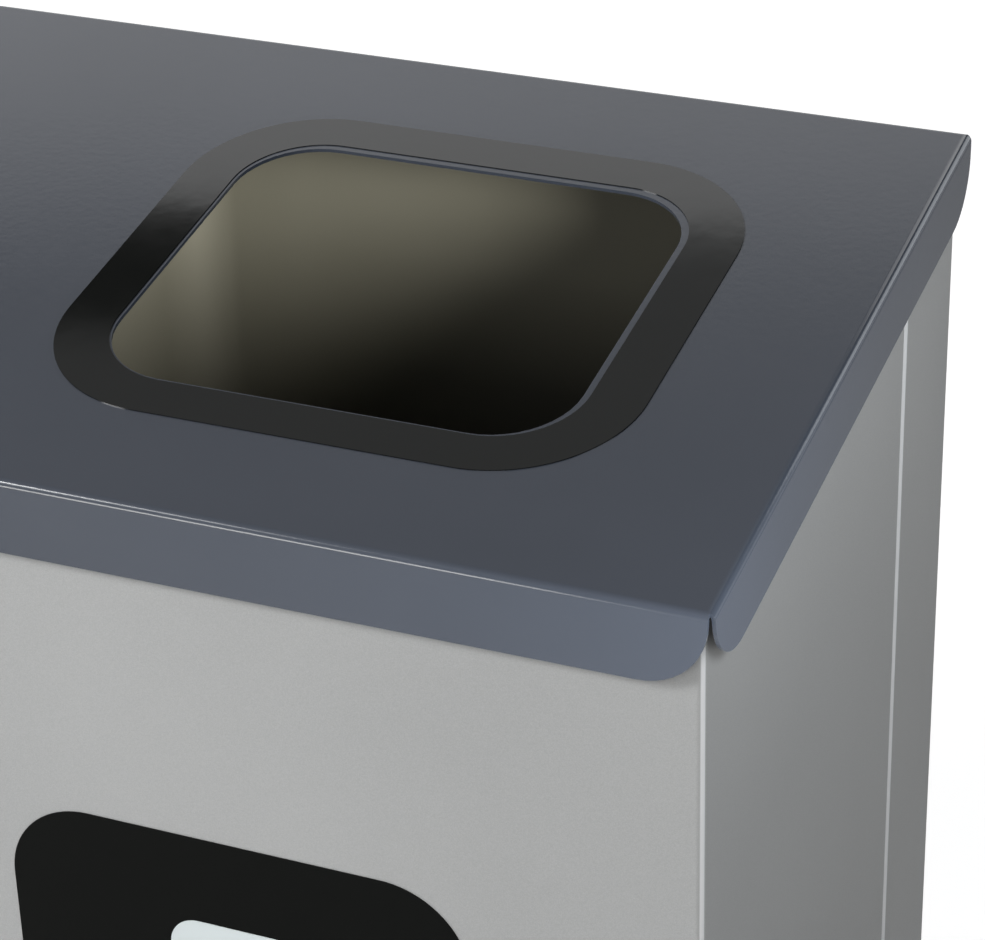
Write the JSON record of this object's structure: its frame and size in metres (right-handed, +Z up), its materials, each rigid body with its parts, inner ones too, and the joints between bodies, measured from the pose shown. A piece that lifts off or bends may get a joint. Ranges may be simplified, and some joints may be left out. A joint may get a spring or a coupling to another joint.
{
  "type": "recycling bin station",
  "caption": "Sheet-metal recycling station: sloping hinged lid with rounded drop openings, square stream labels on a tall silver cabinet, lift-out liners and levelling feet.",
  "frame": {"origin": "on the floor, under the middle of the overall box", "axes": "+X along the width, +Y towards the hinged back, +Z up"},
  "size_m": [1.12, 0.3328, 0.9006],
  "materials": {
    "lid_paint": "semi-gloss anthracite powder coat, fine orange peel",
    "body_paint": "satin silver metallic powder coat, fine grain",
    "surround_film_right": "gloss black printed film",
    "surround_film_middle": "gloss yellow printed film",
    "surround_film_left": "gloss blue printed film",
    "label_film_right": "satin black printed film",
    "label_film_middle": "satin yellow printed film",
    "label_film_left": "satin blue printed film",
    "symbol_film": "satin white printed film",
    "galvanised_steel": "satin galvanised sheet",
    "liner_steel": "satin galvanised sheet, lightly used",
    "zinc_steel": "bright zinc-plated steel",
    "buffer_rubber": "matt black rubber",
    "foot_plastic": "matt black moulded plastic"
  },
  "bodies": {
    "station": {"front_shell": "body_paint", "back_panel": "body_paint", "base_tray": "galvanised_steel", "top_frame": "galvanised_steel", "divider_left": "galvanised_steel", "divider_right": "galvanised_steel", "liner_rail_front": "galvanised_steel", "liner_rail_rear": "galvanised_steel", "hinge_packers": "galvanised_steel", "hinge_screws_body": "zinc_steel", "seam_screws": "zinc_steel", "lid_buffers": "buffer_rubber", "foot_nuts": "zinc_steel", "liner_left": "liner_steel", "liner_middle": "liner_steel", "liner_right": "liner_steel", "stream_label_left": "label_film_left", "stream_label_middle": "label_film_middle", "stream_label_right": "label_film_right", "stream_symbol_left": "symbol_film", "stream_symbol_middle": "symbol_film", "stream_symbol_right": "symbol_film", "hinge_leaf_fixed_left": "zinc_steel", "hinge_leaf_fixed_middle": "zinc_steel", "hinge_leaf_fixed_right": "zinc_steel", "hinge_pin_left": "zinc_steel", "hinge_pin_middle": "zinc_steel", "hinge_pin_right": "zinc_steel"},
    "lid": {"lid": "lid_paint", "lid_rib_left": "lid_paint", "lid_rib_right": "lid_paint", "hinge_rivets_lid": "zinc_steel", "opening_surround_left": "surround_film_left", "opening_surround_middle": "surround_film_middle", "opening_surround_right": "surround_film_right", "hinge_leaf_moving_left": "zinc_steel", "hinge_leaf_moving_middle": "zinc_steel", "hinge_leaf_moving_right": "zinc_steel"},
    "foot_front_left": {"foot_pad_front_left": "foot_plastic", "foot_stud_front_left": "zinc_steel"},
    "foot_front_right": {"foot_pad_front_right": "foot_plastic", "foot_stud_front_right": "zinc_steel"},
    "foot_rear_left": {"foot_pad_rear_left": "foot_plastic", "foot_stud_rear_left": "zinc_steel"},
    "foot_rear_right": {"foot_pad_rear_right": "foot_plastic", "foot_stud_rear_right": "zinc_steel"}
  },
  "joints": [
    {"name": "lid_hinge", "type": "hinge", "parent": "station", "child": "lid", "pos_m": [0, 0.16188, 0.86932], "axis": [-1, 0, 0], "range_deg": [0, 95]},
    {"name": "foot_adjust_front_left", "type": "slide", "parent": "station", "child": "foot_front_left", "axis": [0, 0, -1], "range_m": [0, 0.012]},
    {"name": "foot_adjust_front_right", "type": "slide", "parent": "station", "child": "foot_front_right", "axis": [0, 0, -1], "range_m": [0, 0.012]},
    {"name": "foot_adjust_rear_left", "type": "slide", "parent": "station", "child": "foot_rear_left", "axis": [0, 0, -1], "range_m": [0, 0.012]},
    {"name": "foot_adjust_rear_right", "type": "slide", "parent": "station", "child": "foot_rear_right", "axis": [0, 0, -1], "range_m": [0, 0.012]}
  ]
}
